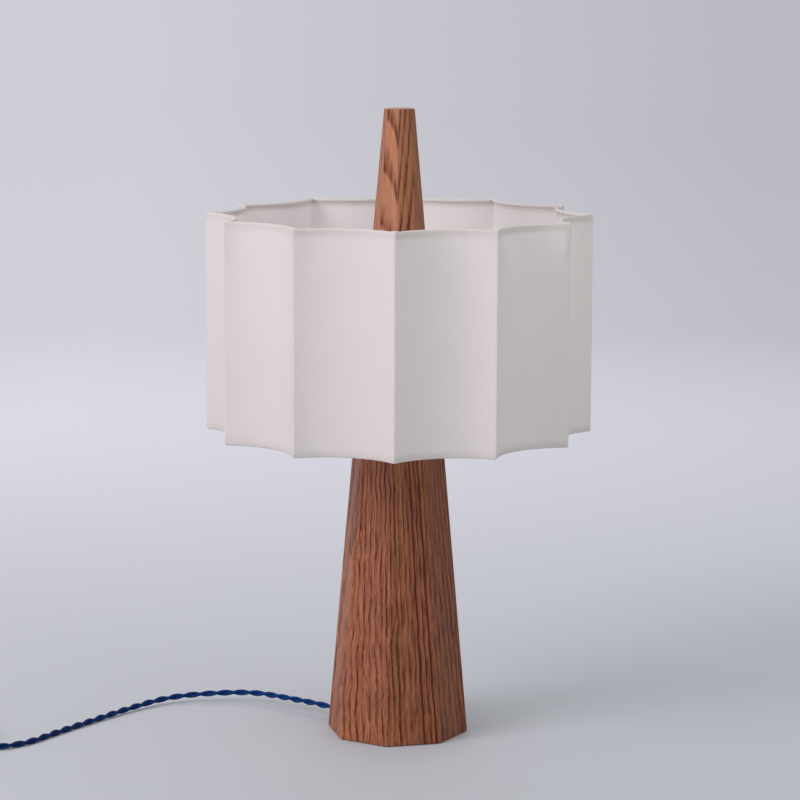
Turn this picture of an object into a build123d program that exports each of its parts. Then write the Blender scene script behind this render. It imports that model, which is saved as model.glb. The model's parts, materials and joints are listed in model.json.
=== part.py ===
from build123d import *
import math
import os

# Table lamp with an eight-sided tapered wooden column and finial and a fluted drum shade.
# Millimetres, +Z up. The origin is on the table, under the column's axis, and -Y is the front.

# Column
column_height = 307.2
column_foot_flats = 133.1  # across opposite facets, at the foot
column_head_flats = 83.2
column_turn = -8.3  # degrees from +X to a corner
arris_radius = 0.8
foot_chamfer = 0.6
cavity_radius = 28.0  # the hollow for the nut and the cord, under the column
cavity_ceiling = 40.0  # above the table

# Felt pad
felt_radius = 58.7
felt_thickness = 2.0
felt_recess_depth = 1.2
felt_fit = 0.3

# Lamp pipe and its fastening
pipe_radius = 5.0
pipe_bore_radius = 3.5
pipe_fit = 0.3  # in the wood
thread_fit = 0.05  # between screwed pieces
pipe_tail = 2.5  # below the nut
pipe_head = 1.0  # above the socket cap's neck
washer_radius = 18.0
washer_thickness = 1.6
nut_flats = 14.3
nut_height = 4.5
nut_chamfer = 0.7
check_ring_radius = 19.0
check_ring_thickness = 3.0
check_ring_rounding = 1.0

# Harp saddle
saddle_thickness = 1.6
saddle_width = 13.0
channel_wall = 1.1
channel_height = 11.0
harp_fit = 0.15  # between a leg and its channel

# Harp
harp_leg_spacing = 54.0
harp_width = 92.0  # between the wire's centres at the bulb
harp_height = 178.0  # from the saddle to the shade's seat
harp_wire_radius = 2.0
leg_knee_height = 36.0  # where a leg starts outward, above the saddle
hip_height = 72.0  # where it is upright again
knee_radius = 30.0
hip_radius = 60.0
crown_radius = 38.0
bridge_radius = 6.5
bridge_height = 6.0
seat_gap = 0.1  # between pieces that rest or turn on each other

# Ferrules
ferrule_fit = 0.15
ferrule_wall = 0.8
ferrule_height = 10.0
ferrule_lift_off = 1.0  # above the saddle at rest
ferrule_bead = 0.5

# Stud on the harp
stud_shank_radius = 2.4
stud_head_radius = 3.8
stud_head_height = 1.5
stud_flange_thickness = 1.4
stud_thread_radius = 3.1
stud_thread_length = 16.0
stud_tip_chamfer = 0.8

# Socket
cap_neck_radius = 7.5
cap_neck_height = 7.0
cap_height = 22.0
cap_bulge = 1.0  # of the bowl's outline, outward and downward
socket_wall = 0.7
shell_radius = 15.9
shell_height = 43.0
shell_overlap = 5.5  # inside the cap
shell_bead = 0.7
shell_bead_heights = (19.4, 26.6)
socket_fit = 0.1
sleeve_wall = 0.5
sleeve_height = 36.0
switch_body_radius = 13.6
switch_body_height = 17.0
switch_body_overlap = 2.0  # inside the cap
switch_body_chamfer = 1.0
screw_shell_wall = 0.5
screw_shell_height = 20.0
contact_radius = 3.0
contact_height = 1.5
terminal_head_radius = 2.4
terminal_head_height = 0.6
terminal_shank_radius = 1.5
terminal_shank_length = 4.0
set_screw_radius = 1.5
set_screw_head_radius = 2.4
set_screw_head_height = 1.3
driver_slot_width = 0.6
driver_slot_depth = 0.5
cord_stub = 3.0  # the inner cord above the pipe

# Switch knob, which points to the front
knob_shaft_radius = 1.6
knob_shaft_depth = 8.0  # into the switch body
knob_fit = 0.05
knob_radius = 5.5
knob_length = 12.0
knob_standoff = 4.0  # between the shell and the knob
knob_flutes = 10
knob_flute_radius = 0.7
knob_rounding = 1.0
slot_fit = 0.6

# Bulb
bulb_radius = 30.0
bulb_length = 110.0
bulb_neck_radius = 12.7
bulb_shoulder_radius = 45.0
bulb_wall = 1.0
bulb_cap_radius = 13.0
bulb_cap_height = 22.0
bulb_cap_taper = 3.0
bulb_cap_rounding = 0.25
bulb_tip_radius = 4.5
bulb_tip_height = 2.0
bulb_tip_rounding = 1.2

# Shade, a stiff cover creased at its cusps and rolled over two fluted wire rings
shade_radius = 193.5  # to the outside of a cusp
shade_height = 220.0
shade_turn = -1.2  # degrees from +X to a cusp
cusp_count = 12
flute_depth = 18.0  # of each hollow, from its chord
ring_wire_radius = 1.0
cover_fit = 0.1
cover_thickness = 0.6
rim_rounding = 1.2
spider_drop = 36.0  # from the top ring to the arms
hub_radius = 13.0
hub_thickness = 5.0
hub_bore_fit = 0.2
arm_radius = 1.6
arm_socket_depth = 5.0
arm_bend_radius = 9.0  # where an arm turns up to the top ring
arm_cusps = (3, 7, 11)
weld_gap = 0.1

# Finial
finial_height = 139.4
finial_foot_flats = 51.4
finial_head_flats = 28.4
finial_turn = -3.6
finial_rounding = 1.0
insert_radius = 5.0
insert_length = 13.0
insert_floor = 1.0
insert_fit = 0.05

# Bushing in the cord's side hole
exit_facet = 4  # counted from the corner that column_turn names
exit_height = 10.5
bushing_radius = 4.75
bushing_length = 14.0
bushing_fit = 0.05
flange_radius = 6.8
flange_thickness = 1.5

# Cord, two twisted wires that measure this much over both
cord_diameter = 6.4
inner_bend_radius = 20.0
exit_lead = 24.0  # straight out of the bushing
cord_route = [
    (-110.0, 72.0, 11.8),
    (-152.0, 105.0, 10.6),
    (-198.0, 106.0, 9.0),
    (-244.0, 98.0, 6.6),
    (-284.0, 57.0, 4.3),
    (-314.0, 17.0, 3.3),
    (-345.0, -27.0, 3.2),
    (-376.0, -77.0, 3.2),
]
coil_lead = 37.0  # straight into the coil
coil_x = -458.0
coil_front = -95.0
coil_radius = 46.5  # of the first half turn
coil_spacing = 7.0  # between turns and between layers
lower_half_turns = 5
upper_half_turns = 4
tie_wall = 0.8
tie_fit = 0.4
tie_width = 5.0
tail_lead = 30.0
tail_swing = 38.0
plug_radius = 12.0
plug_neck_radius = 5.2
plug_throat_radius = 6.2
plug_throat_length = 7.0
plug_shoulder = 13.0
plug_length = 31.0
plug_rounding = 2.0
blade_length = 17.5
blade_width = 6.35
blade_thickness = 1.5
blade_spacing = 12.7
blade_hole_radius = 1.6
blade_hole_inset = 4.5
blade_chamfer = 1.5

# Heights
column_bottom = felt_thickness - felt_recess_depth
column_top = column_bottom + column_height
check_ring_top = column_top + check_ring_thickness
saddle_top = check_ring_top + saddle_thickness
hub_seat = saddle_top + harp_height
arm_height = hub_seat + hub_thickness / 2
top_ring_height = arm_height + spider_drop
cover_out = ring_wire_radius + cover_fit + cover_thickness
cover_in = ring_wire_radius + cover_fit
rim_top = top_ring_height + cover_out
rim_bottom = rim_top - shade_height
bottom_ring_height = rim_bottom + cover_out
finial_bottom = hub_seat + hub_thickness
washer_bottom = cavity_ceiling - washer_thickness
nut_bottom = washer_bottom - nut_height
pipe_bottom = nut_bottom - pipe_tail
pipe_top = saddle_top + cap_neck_height + pipe_head
shell_bottom = saddle_top + cap_height - shell_overlap
shell_top = shell_bottom + shell_height
sleeve_bottom = shell_bottom + 2 * socket_wall
switch_body_bottom = saddle_top + cap_height - switch_body_overlap
switch_body_top = switch_body_bottom + switch_body_height
knob_height = (switch_body_bottom + switch_body_top) / 2
contact_top = switch_body_top + contact_height
bulb_bottom = contact_top + seat_gap
bulb_cap_bottom = bulb_bottom + bulb_tip_height
bulb_cap_top = bulb_cap_bottom + bulb_cap_height
bulb_centre = bulb_bottom + bulb_length - bulb_radius
bridge_top = hub_seat - stud_flange_thickness - seat_gap
bridge_bottom = bridge_top - bridge_height

# Radii and places that follow
harp_leg = harp_leg_spacing / 2
channel_bore = harp_wire_radius + harp_fit
channel_radius = channel_bore + channel_wall
screw_shell_bore = bulb_cap_radius + socket_fit
ring_corner = shade_radius - cover_out
hem_depth = cover_out + ring_wire_radius - weld_gap
cord_radius = cord_diameter / 2

cut_past = 1.0  # how far a cut runs past the face it opens
UPRIGHT = (Align.CENTER, Align.CENTER, Align.MIN)


def post(radius, bottom, top, bore=0.0):
    """An upright round bar, or a tube if it has a bore."""
    solid = Pos(0, 0, bottom) * Cylinder(radius, top - bottom, align=UPRIGHT)
    if bore > 0:
        solid -= Pos(0, 0, bottom) * Cylinder(bore, top - bottom, align=UPRIGHT)
    return solid


def turned(*edges):
    """A closed outline of (radius, height) edges, drawn on XZ, turned about the Z axis."""
    return revolve(make_face(edges), Axis.Z)


def outline(*points):
    """Straight edges through (radius, height) points."""
    return Polyline(*[(r, 0, z) for r, z in points])


def polar(radius, degrees, height=0.0):
    angle = math.radians(degrees)
    return Vector(radius * math.cos(angle), radius * math.sin(angle), height)


def facet_post(bottom, top, foot_flats, head_flats, turn):
    """An eight-sided tapered post."""
    foot = Pos(0, 0, bottom) * RegularPolygon(foot_flats / 2, 8, major_radius=False, rotation=turn)
    head = Pos(0, 0, top) * RegularPolygon(head_flats / 2, 8, major_radius=False, rotation=turn)
    return loft([foot, head], ruled=True)


def steep(edge):
    return abs(edge.tangent_at(0.5).Z) > 0.7


def tube(path, radius):
    """A round bar along a path."""
    start = Plane(origin=path @ 0, z_dir=path % 0)
    return sweep(start * Circle(radius), path=path)


def smooth_path(points):
    """Straight runs joined by tangent arcs as large as the runs allow."""
    corners = [Vector(*p) for p in points]
    radii = []
    for a, b, c in zip(corners, corners[1:], corners[2:]):
        turn = math.radians((b - a).get_angle(c - b))
        radii.append(0.45 * min((b - a).length, (c - b).length) / math.tan(turn / 2))
    print("bend radii", [round(r) for r in radii])
    return FilletPolyline(*corners, radius=radii)


# Exit of the cord, on the facet at the back left
facet_slope = (column_foot_flats - column_head_flats) / 2 / column_height
facet_radius = column_foot_flats / 2 - (exit_height - column_bottom) * facet_slope
exit_turn = column_turn + exit_facet * 45 - 22.5
exit_way = polar(1, exit_turn, facet_slope).normalized()
exit_plane = Plane(origin=polar(facet_radius, exit_turn, exit_height), z_dir=exit_way)
cord_exit = exit_plane.origin + exit_way * flange_thickness


def make_column():
    wood = facet_post(column_bottom, column_top, column_foot_flats, column_head_flats, column_turn)
    wood = fillet(wood.edges().filter_by(steep), arris_radius)
    wood = chamfer(wood.faces().sort_by(Axis.Z)[0].edges(), foot_chamfer)
    wood -= post(felt_radius + felt_fit, column_bottom, felt_thickness)
    wood -= post(cavity_radius, felt_thickness, cavity_ceiling)
    wood -= post(pipe_radius + pipe_fit, cavity_ceiling, column_top)
    bushing_hole = Cylinder(bushing_radius + bushing_fit, bushing_length + cut_past, align=UPRIGHT)
    wood -= exit_plane * Pos(0, 0, -bushing_length) * bushing_hole
    hole_depth = facet_radius - cavity_radius / 2
    cord_hole = Cylinder(cord_radius + 2 * pipe_fit, hole_depth, align=UPRIGHT)
    wood -= exit_plane * Pos(0, 0, -hole_depth) * cord_hole
    return wood


def make_felt_pad():
    return post(felt_radius, 0, felt_thickness)


def make_lamp_pipe():
    return post(pipe_radius, pipe_bottom, pipe_top, pipe_bore_radius)


def make_base_washer():
    return post(washer_radius, washer_bottom, cavity_ceiling, pipe_radius + pipe_fit)


def make_base_nut():
    hexagon = RegularPolygon(nut_flats / 2, 6, major_radius=False)
    nut = extrude(Pos(0, 0, nut_bottom) * hexagon, nut_height)
    corner_radius = nut_flats / math.sqrt(3)
    nut &= turned(
        outline(
            (0, nut_bottom),
            (nut_flats / 2, nut_bottom),
            (corner_radius, nut_bottom + nut_chamfer),
            (corner_radius, washer_bottom),
            (0, washer_bottom),
            (0, nut_bottom),
        )
    )
    return nut - post(pipe_radius + thread_fit, nut_bottom, washer_bottom)


def make_cord_bushing():
    sleeve = Pos(0, 0, -bushing_length) * Cylinder(bushing_radius, bushing_length, align=UPRIGHT)
    flange = Cylinder(flange_radius, flange_thickness, align=UPRIGHT)
    flange = fillet(flange.edges().sort_by(Axis.Z)[-1], flange_thickness / 2)
    bore = Cylinder(cord_radius + pipe_fit, 3 * bushing_length)
    return exit_plane * (sleeve + flange - bore)


def make_inner_cord():
    inward = math.hypot(cord_exit.X, cord_exit.Y)
    corner = Vector(0, 0, cord_exit.Z - inward * facet_slope)
    top = Vector(0, 0, pipe_top + cord_stub)
    return tube(FilletPolyline(cord_exit, corner, top, radius=inner_bend_radius), cord_radius)


def make_check_ring():
    ring = post(check_ring_radius, column_top, check_ring_top)
    ring = fillet(ring.edges().sort_by(Axis.Z)[-1], check_ring_rounding)
    return ring - post(pipe_radius + pipe_fit, column_top, check_ring_top)


def make_harp_saddle():
    length = harp_leg_spacing + 2 * channel_radius
    plate = Pos(0, 0, check_ring_top) * Box(length, saddle_width, saddle_thickness, align=UPRIGHT)
    plate = fillet(plate.edges().filter_by(Axis.Z), saddle_width / 3)
    plate -= post(pipe_radius + pipe_fit, check_ring_top, saddle_top)
    channel = post(channel_radius, saddle_top, saddle_top + channel_height, channel_bore)
    mouth_align = (Align.MAX, Align.CENTER, Align.MIN)
    mouth = Box(2 * channel_radius, 3 * channel_radius, channel_height, align=mouth_align)
    channel -= Pos(-channel_bore / 3, 0, saddle_top) * mouth
    for turn in (0, 180):
        plate += Rot(0, 0, turn) * Pos(harp_leg, 0, 0) * channel
    return plate


def make_ferrule(side):
    bottom = saddle_top + ferrule_lift_off
    bore = channel_radius + ferrule_fit
    radius = bore + ferrule_wall
    sleeve = post(radius, bottom, bottom + ferrule_height)
    sleeve += post(radius + ferrule_bead, bottom, bottom + 2 * ferrule_bead)
    sleeve = fillet(sleeve.edges().sort_by(Axis.Z)[-1], ferrule_wall / 2)
    sleeve -= post(bore, bottom, bottom + ferrule_height)
    return Pos(side * harp_leg, 0, 0) * sleeve


def make_harp():
    middle = (bridge_bottom + bridge_top) / 2
    crown_start = bridge_radius - 2 * harp_fit
    leg = FilletPolyline(
        (harp_leg, 0, saddle_top + seat_gap),
        (harp_leg, 0, saddle_top + leg_knee_height),
        (harp_width / 2, 0, saddle_top + hip_height),
        (harp_width / 2, 0, middle),
        (crown_start, 0, middle),
        radius=[knee_radius, hip_radius, crown_radius],
    )
    half = tube(leg, harp_wire_radius)
    bridge = post(bridge_radius, bridge_bottom, bridge_top, stud_shank_radius + thread_fit)
    return half + mirror(half, about=Plane.YZ) + bridge


def make_harp_stud():
    head_top = bridge_bottom - seat_gap
    thread_top = hub_seat + stud_thread_length
    return turned(
        outline(
            (0, head_top - stud_head_height),
            (stud_head_radius, head_top - stud_head_height),
            (stud_head_radius, head_top),
            (stud_shank_radius, head_top),
            (stud_shank_radius, hub_seat - stud_flange_thickness),
            (bridge_radius, hub_seat - stud_flange_thickness),
            (bridge_radius, hub_seat),
            (stud_thread_radius, hub_seat),
            (stud_thread_radius, thread_top - stud_tip_chamfer),
            (stud_thread_radius - stud_tip_chamfer, thread_top),
            (0, thread_top),
            (0, head_top - stud_head_height),
        )
    )


def make_socket_cap():
    rim_radius = shell_radius + socket_fit + socket_wall
    bowl_bottom = saddle_top + cap_neck_height
    bowl_top = saddle_top + cap_height - shell_overlap
    cap_top = saddle_top + cap_height
    bore = pipe_radius + thread_fit
    inner_rim = rim_radius - socket_wall
    floor = bowl_bottom + socket_wall
    belly = Vector(cap_neck_radius + rim_radius, 0, bowl_bottom + bowl_top) / 2
    belly += Vector(cap_bulge, 0, -cap_bulge)
    outside = ThreePointArc((cap_neck_radius, 0, bowl_bottom), belly, (rim_radius, 0, bowl_top))
    inside = ThreePointArc(
        (inner_rim, 0, bowl_top),
        belly + Vector(-socket_wall, 0, socket_wall),
        (cap_neck_radius, 0, floor),
    )
    cap = turned(
        outline((bore, saddle_top), (cap_neck_radius, saddle_top), (cap_neck_radius, bowl_bottom)),
        outside,
        outline((rim_radius, bowl_top), (rim_radius, cap_top), (inner_rim, cap_top), (inner_rim, bowl_top)),
        inside,
        outline((cap_neck_radius, floor), (bore, floor), (bore, saddle_top)),
    )
    screw_hole = Cylinder(set_screw_radius + thread_fit, cap_neck_radius, align=UPRIGHT)
    return cap - set_screw_place() * screw_hole


def set_screw_place():
    """The set screw's axis, from the pipe's surface out through the back of the cap's neck."""
    return Plane(origin=(0, pipe_radius + thread_fit, saddle_top + cap_neck_height / 2), z_dir=(0, 1, 0))


def make_set_screw():
    shank_length = cap_neck_radius - pipe_radius - thread_fit
    shank = Cylinder(set_screw_radius, shank_length, align=UPRIGHT)
    head = Pos(0, 0, shank_length) * Cylinder(set_screw_head_radius, set_screw_head_height, align=UPRIGHT)
    slot = Box(3 * set_screw_head_radius, driver_slot_width, 2 * driver_slot_depth)
    slot = Pos(0, 0, shank_length + set_screw_head_height) * slot
    return set_screw_place() * (shank + head - slot)


def knob_slot(bottom):
    """The open-ended slot in a socket tube that lets it slide down over the knob's shaft."""
    width = 2 * (knob_shaft_radius + slot_fit)
    reach = 2 * shell_radius
    hole = Pos(0, 0, knob_height) * Rot(90, 0, 0) * Cylinder(width / 2, reach, align=UPRIGHT)
    gap = Box(width, reach, knob_height - bottom + cut_past, align=UPRIGHT)
    return hole + Pos(0, -reach / 2, bottom - cut_past) * gap


def make_socket_shell():
    shell = post(shell_radius, shell_bottom, shell_top)
    for height in (*shell_bead_heights, shell_height - shell_bead):
        shell += Pos(0, 0, shell_bottom + height) * Torus(shell_radius - shell_bead / 2, shell_bead)
    shell -= post(shell_radius - socket_wall, shell_bottom, shell_top)
    return shell - knob_slot(shell_bottom)


def make_socket_sleeve():
    radius = shell_radius - socket_wall - socket_fit
    sleeve = post(radius, sleeve_bottom, sleeve_bottom + sleeve_height, radius - sleeve_wall)
    return sleeve - knob_slot(sleeve_bottom)


def make_switch_body():
    body = post(switch_body_radius, switch_body_bottom, switch_body_top)
    body = chamfer(body.edges().sort_by(Axis.Z)[0], switch_body_chamfer)
    bore = Cylinder(knob_shaft_radius + knob_fit, knob_shaft_depth, align=UPRIGHT)
    place = Plane(origin=(0, -switch_body_radius + knob_shaft_depth, knob_height), z_dir=(0, -1, 0))
    body -= place * bore
    for side in (-1, 1):
        hole = Cylinder(terminal_shank_radius + thread_fit, terminal_shank_length, align=UPRIGHT)
        body -= terminal_place(side) * Pos(0, 0, -terminal_shank_length) * hole
    return body


def terminal_place(side):
    return Plane(origin=(side * switch_body_radius, 0, knob_height), x_dir=(0, 1, 0), z_dir=(side, 0, 0))


def make_terminal_screws():
    shank = Cylinder(terminal_shank_radius, terminal_shank_length + seat_gap, align=UPRIGHT)
    shank = Pos(0, 0, -terminal_shank_length) * shank
    head = Pos(0, 0, seat_gap) * Cylinder(terminal_head_radius, terminal_head_height, align=UPRIGHT)
    slot = Box(3 * terminal_head_radius, driver_slot_width, terminal_head_height)
    head -= Pos(0, 0, seat_gap + terminal_head_height) * slot
    return Compound(children=[terminal_place(side) * (shank + head) for side in (-1, 1)])


def make_screw_shell():
    top = switch_body_top + screw_shell_height
    shell = post(screw_shell_bore + screw_shell_wall, switch_body_top, top, screw_shell_bore)
    floor = post(screw_shell_bore, switch_body_top, switch_body_top + screw_shell_wall, 2 * contact_radius)
    return shell + floor


def make_centre_contact():
    contact = post(contact_radius, switch_body_top, contact_top)
    return fillet(contact.edges().sort_by(Axis.Z)[-1], contact_height / 2)


def make_knob_shaft():
    start = -switch_body_radius + knob_shaft_depth - seat_gap
    length = start + shell_radius + knob_standoff + knob_length / 2
    place = Plane(origin=(0, start, knob_height), z_dir=(0, -1, 0))
    return place * Cylinder(knob_shaft_radius, length, align=UPRIGHT)


def make_switch_knob():
    knob = Cylinder(knob_radius, knob_length, align=UPRIGHT)
    knob = fillet(knob.edges().sort_by(Axis.Z)[-1], knob_rounding)
    for i in range(knob_flutes):
        flute = Pos(knob_radius, 0, 0) * Cylinder(knob_flute_radius, 3 * knob_length)
        knob -= Rot(0, 0, 360 / knob_flutes * i) * flute
    knob -= Cylinder(knob_shaft_radius, knob_length / 2, align=UPRIGHT)
    return Plane(origin=(0, -shell_radius - knob_standoff, knob_height), z_dir=(0, -1, 0)) * knob


def bulb_line(inset):
    """The glass's outline from its neck to its crown, this far inside the outer face."""
    ball = bulb_radius - inset
    shoulder = bulb_shoulder_radius + inset
    across = bulb_neck_radius + bulb_shoulder_radius
    down = math.sqrt((bulb_radius + bulb_shoulder_radius) ** 2 - across**2)
    lean = math.atan2(down, across)
    neck_top = bulb_centre - down
    meet = (ball * math.cos(lean), 0, bulb_centre - ball * math.sin(lean))
    half = lean / 2
    shoulder_middle = (across - shoulder * math.cos(half), 0, neck_top + shoulder * math.sin(half))
    ball_middle = (ball, 0, bulb_centre)
    neck = bulb_neck_radius - inset
    return [
        Line((neck, 0, bulb_cap_top), (neck, 0, neck_top)),
        ThreePointArc((neck, 0, neck_top), shoulder_middle, meet),
        ThreePointArc(meet, ball_middle, (0, 0, bulb_centre + ball)),
    ]


def make_bulb_glass():
    outer = bulb_line(0)
    inner = bulb_line(bulb_wall)
    crown = Line((0, 0, bulb_centre + bulb_radius), (0, 0, bulb_centre + bulb_radius - bulb_wall))
    foot = Line((bulb_neck_radius, 0, bulb_cap_top), (bulb_neck_radius - bulb_wall, 0, bulb_cap_top))
    return turned(*outer, crown, *inner, foot)


def make_bulb_cap():
    cap = post(bulb_cap_radius, bulb_cap_bottom, bulb_cap_top)
    cap = chamfer(cap.edges().sort_by(Axis.Z)[0], bulb_cap_taper)
    return fillet(cap.edges().sort_by(Axis.Z)[-1], bulb_cap_rounding)


def make_bulb_tip():
    tip = post(bulb_tip_radius, bulb_bottom, bulb_cap_bottom)
    return fillet(tip.edges().sort_by(Axis.Z)[0], bulb_tip_rounding)


# The shade's plan is a ring of hollow arcs that meet in outward cusps.
half_pitch = 180 / cusp_count
half_chord = ring_corner * math.sin(math.radians(half_pitch))
flute_radius = (half_chord**2 + flute_depth**2) / (2 * flute_depth)
flute_centre = ring_corner * math.cos(math.radians(half_pitch)) - flute_depth + flute_radius
cusp_sine = (flute_centre * math.cos(math.radians(half_pitch)) - ring_corner) / flute_radius
arm_inset = (arm_radius - ring_wire_radius) / cusp_sine  # keeps an arm's upright end off the cover


def cusp_angle(i):
    return shade_turn + 2 * half_pitch * i


def scallop(offset):
    """The shade's plan as a face, its edge this far outside the ring wire's centre line."""
    radius = flute_radius - offset
    edges = []
    for i in range(cusp_count):
        here = cusp_angle(i)
        middle = here + half_pitch
        centre = polar(flute_centre, middle)
        if offset > 0:
            starts = [polar(ring_corner, here), polar(ring_corner, here + 2 * half_pitch)]
            ends = [p + (centre - p).normalized() * offset for p in starts]
            before = Vector(ends[0])
            mirrored = (before - polar(before.dot(polar(1, here)), here)) * -2 + before
            edges.append(ThreePointArc(mirrored, polar(ring_corner + offset, here), before))
        else:
            side = flute_centre * math.sin(math.radians(half_pitch))
            reach = flute_centre * math.cos(math.radians(half_pitch)) - math.sqrt(radius**2 - side**2)
            ends = [polar(reach, here), polar(reach, here + 2 * half_pitch)]
        edges.append(ThreePointArc(ends[0], polar(flute_centre - radius, middle), ends[1]))
    return make_face(edges)


def make_cover():
    outer = scallop(cover_out)
    wall = extrude(Pos(0, 0, rim_bottom) * (outer - scallop(cover_in)), shade_height)
    lid = extrude(outer - scallop(-cover_out), cover_thickness)
    flap = extrude(scallop(-cover_in) - scallop(-cover_out), hem_depth)
    wall += Pos(0, 0, rim_bottom) * lid
    wall += Pos(0, 0, rim_top - cover_thickness) * lid
    wall += Pos(0, 0, rim_bottom) * flap
    wall += Pos(0, 0, rim_top - hem_depth) * flap
    rims = [wall.faces().sort_by(Axis.Z)[place].outer_wire().edges() for place in (0, -1)]
    return fillet(rims[0] + rims[1], rim_rounding)


def make_ring(height):
    start = polar(ring_corner, cusp_angle(0), height)
    end = polar(ring_corner, cusp_angle(1), height)
    middle = polar(flute_centre - flute_radius, cusp_angle(0) + half_pitch, height)
    arc = tube(ThreePointArc(start, middle, end), ring_wire_radius)
    corner = Pos(start) * Sphere(ring_wire_radius)
    pieces = [Rot(0, 0, 2 * half_pitch * i) * piece for i in range(cusp_count) for piece in (arc, corner)]
    return pieces[0].fuse(*pieces[1:])


def make_hub():
    hub = post(hub_radius, hub_seat, finial_bottom, stud_thread_radius + hub_bore_fit)
    for i in arm_cusps:
        mouth = polar(hub_radius - arm_socket_depth, cusp_angle(i), arm_height)
        socket = Cylinder(arm_radius + weld_gap, 2 * arm_socket_depth, align=UPRIGHT)
        hub -= Plane(origin=mouth, z_dir=polar(1, cusp_angle(i))) * socket
    return hub


def make_arm(i):
    """A wire that runs out from the hub and turns up to meet the top ring from below, at a cusp."""
    way = cusp_angle(i)
    start = polar(hub_radius - arm_socket_depth + weld_gap, way, arm_height)
    corner = polar(ring_corner - arm_inset, way, arm_height)
    end = polar(ring_corner - arm_inset, way, top_ring_height - ring_wire_radius - weld_gap)
    return tube(FilletPolyline(start, corner, end, radius=arm_bend_radius), arm_radius)


def make_finial():
    top = finial_bottom + finial_height
    wood = facet_post(finial_bottom, top, finial_foot_flats, finial_head_flats, finial_turn)
    edges = wood.edges().filter_by(steep) + wood.faces().sort_by(Axis.Z)[-1].edges()
    wood = fillet(edges, finial_rounding)
    hole_top = finial_bottom + insert_length + 2 * insert_fit
    return wood - post(insert_radius + insert_fit, finial_bottom, hole_top)


def make_finial_insert():
    insert = post(insert_radius, finial_bottom, finial_bottom + insert_length)
    bore_top = finial_bottom + insert_length - insert_floor
    return insert - post(stud_thread_radius + thread_fit, finial_bottom, bore_top)


# Cord beyond the bushing
lower_layer = tie_wall + tie_fit + cord_radius
upper_layer = lower_layer + coil_spacing
coil_start = Vector(coil_x, coil_front, lower_layer)
straight_end = Vector(cord_diameter, 0, 0)  # each end of the coil runs straight this far


def run_path():
    points = [cord_exit, cord_exit + exit_way * exit_lead]
    points += [Vector(*p) for p in cord_route]
    points += [coil_start + Vector(coil_lead, 0, 0), coil_start + straight_end]
    return smooth_path(points)


def coil_turns():
    """Half turns that spiral in on the lower layer, climb in one, and spiral out on the upper layer."""
    turns = [Line(coil_start + straight_end, coil_start)]
    point = coil_start
    radius = coil_radius
    step = coil_spacing / 2
    count = lower_half_turns + 1 + upper_half_turns
    for i in range(count):
        outward = 1 if i % 2 == 0 else -1
        rise = coil_spacing if i == lower_half_turns else 0.0
        end = point + Vector(0, outward * 2 * radius, rise)
        bulge = math.hypot(radius, rise / 2)
        middle = (point + end) * 0.5 + Vector(-outward * bulge, 0, 0)
        turns.append(ThreePointArc(point, middle, end))
        point = end
        radius += -step if i < lower_half_turns else step
    return turns + [Line(point, point - straight_end)]


def tail_path(start):
    plug_start = plug_place(start)
    return smooth_path(
        [
            start,
            start - Vector(tail_lead, 0, 0),
            plug_start.origin - Vector(0, tail_lead, 0),
            plug_start.origin,
        ]
    )


def plug_place(tail_start):
    """The plug's rear face, where its axis runs towards the back."""
    x = tail_start.X - tail_lead - tail_swing
    y = tail_start.Y + tail_swing + tail_lead
    return Plane(origin=(x, y, plug_radius), x_dir=(-1, 0, 0), z_dir=(0, 1, 0))


def least_gap(path, count=420):
    """The least room between a wound tube's turns, measured on points along its path."""
    points = [tuple(path @ (i / count)) for i in range(count + 1)]
    skip = round(3 * cord_diameter * count / path.length)
    gaps = [math.dist(points[i], points[j]) for i in range(count + 1) for j in range(i + skip, count + 1)]
    return min(gaps) - cord_diameter


def make_cord_tie():
    """A band round the coil's turns where they cross its back."""
    outermost = coil_start.Y + 2 * coil_radius
    innermost = outermost - lower_half_turns // 2 * coil_spacing
    low = innermost - cord_radius - tie_fit
    high = outermost + cord_radius + tie_fit
    bottom = lower_layer - cord_radius - tie_fit
    top = upper_layer + cord_radius + tie_fit
    middle = ((low + high) / 2, (bottom + top) / 2)
    plane = Plane(origin=(coil_x - tie_width / 2, middle[0], middle[1]), x_dir=(0, 1, 0), z_dir=(1, 0, 0))
    hole = RectangleRounded(high - low, top - bottom, cord_radius)
    band = RectangleRounded(high - low + 2 * tie_wall, top - bottom + 2 * tie_wall, cord_radius + tie_wall)
    return extrude(plane * (band - hole), tie_width)


def make_plug_body(place):
    body = turned(
        outline(
            (0, 0),
            (plug_neck_radius, 0),
            (plug_throat_radius, plug_throat_length),
            (plug_radius, plug_shoulder),
            (plug_radius, plug_length),
            (0, plug_length),
            (0, 0),
        )
    )
    body = fillet(body.edges().sort_by(Axis.Z)[-1], plug_rounding)
    return place * body


def make_plug_blades(place):
    blade = Box(blade_thickness, blade_width, blade_length, align=UPRIGHT)
    tip = blade.faces().sort_by(Axis.Z)[-1].edges().filter_by(Axis.X)
    blade = chamfer(tip, blade_chamfer)
    hole = Rot(0, 90, 0) * Cylinder(blade_hole_radius, 3 * blade_thickness)
    blade -= Pos(0, 0, blade_length - blade_hole_inset) * hole
    spots = [Pos(side * blade_spacing / 2, 0, plug_length) for side in (-1, 1)]
    return Compound(children=[place * spot * blade for spot in spots])


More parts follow.
